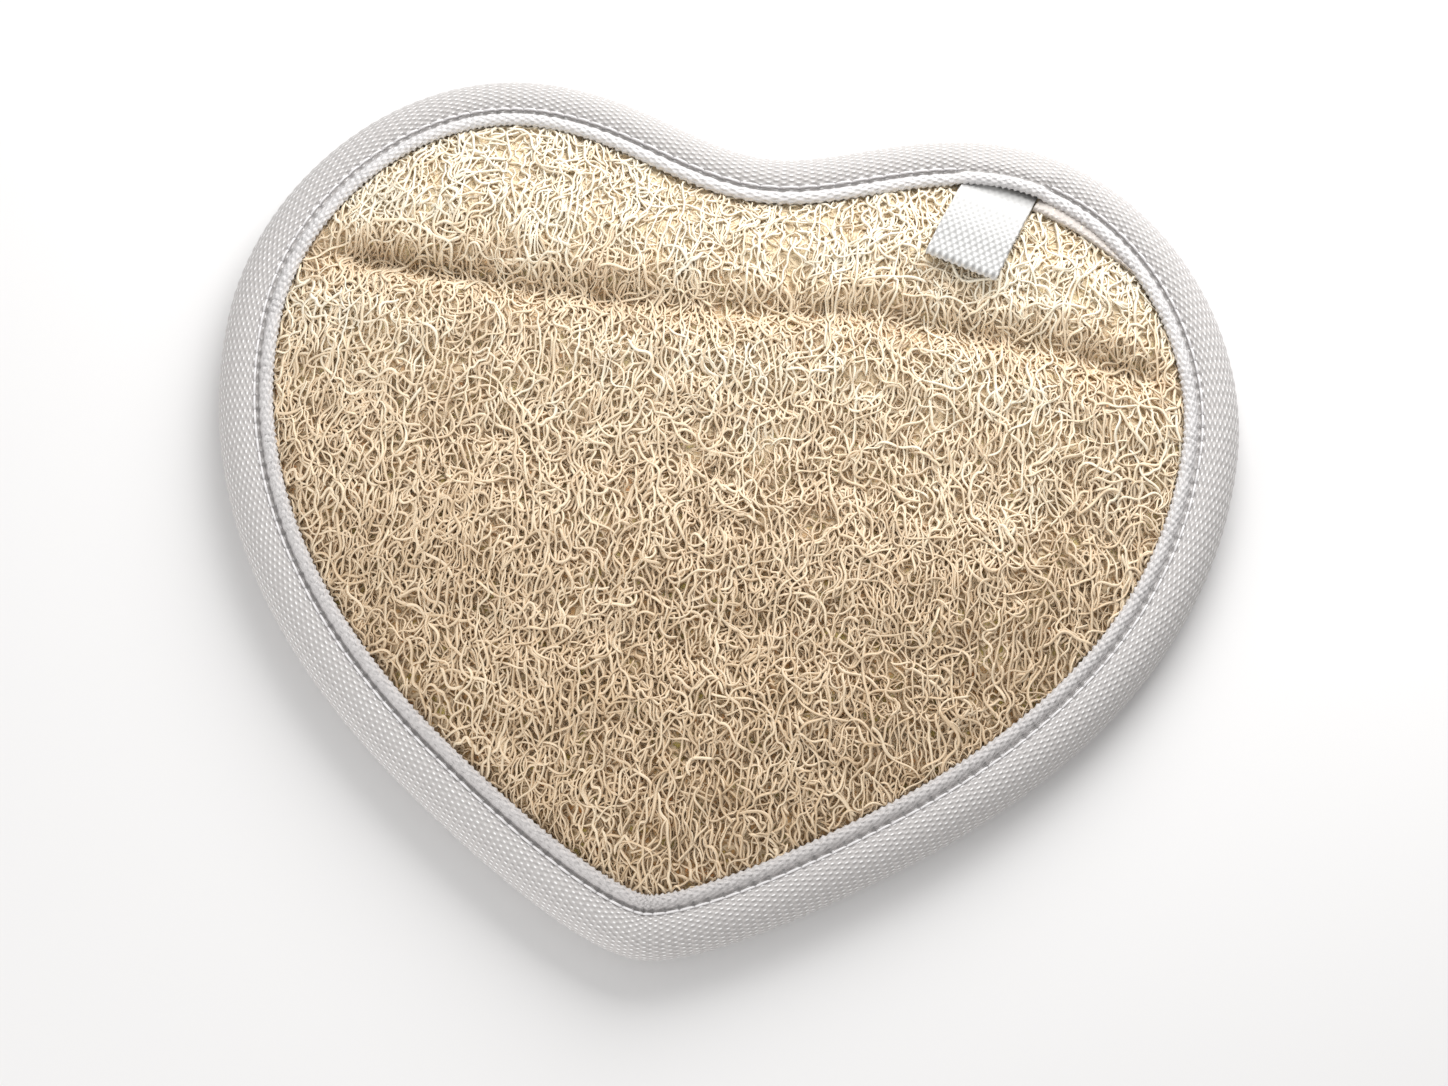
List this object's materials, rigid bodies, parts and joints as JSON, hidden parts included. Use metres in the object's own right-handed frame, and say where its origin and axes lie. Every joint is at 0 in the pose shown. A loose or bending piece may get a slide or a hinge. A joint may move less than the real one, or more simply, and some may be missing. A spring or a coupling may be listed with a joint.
{
  "type": "heart-shaped loofah bath pad",
  "caption": "Flat heart-shaped bath scrubber: a natural loofah face on a towelling back, edged with folded woven tape, with a short hanging loop.",
  "frame": {"origin": "on the surface that the pad lies on, under the middle of its bounding box", "axes": "+Z out of the loofah face, +Y from the heart's tip to its cleft, +X to the right, towards the lobe with the hanging loop"},
  "size_m": [0.15, 0.13, 0.0158],
  "materials": {
    "loofah": "dry natural plant fibre, slightly satin",
    "towelling": "cotton terry towelling",
    "woven_tape": "satin grey plain-weave tape",
    "loop_tape": "white woven cotton tape",
    "thread": "twisted polyester sewing thread"
  },
  "bodies": {
    "root": {"loofah": "loofah", "towelling_back": "towelling", "binding_tape": "woven_tape", "hanging_loop": "loop_tape", "seam_thread_front": "thread", "seam_thread_back": "thread"}
  },
  "joints": []
}
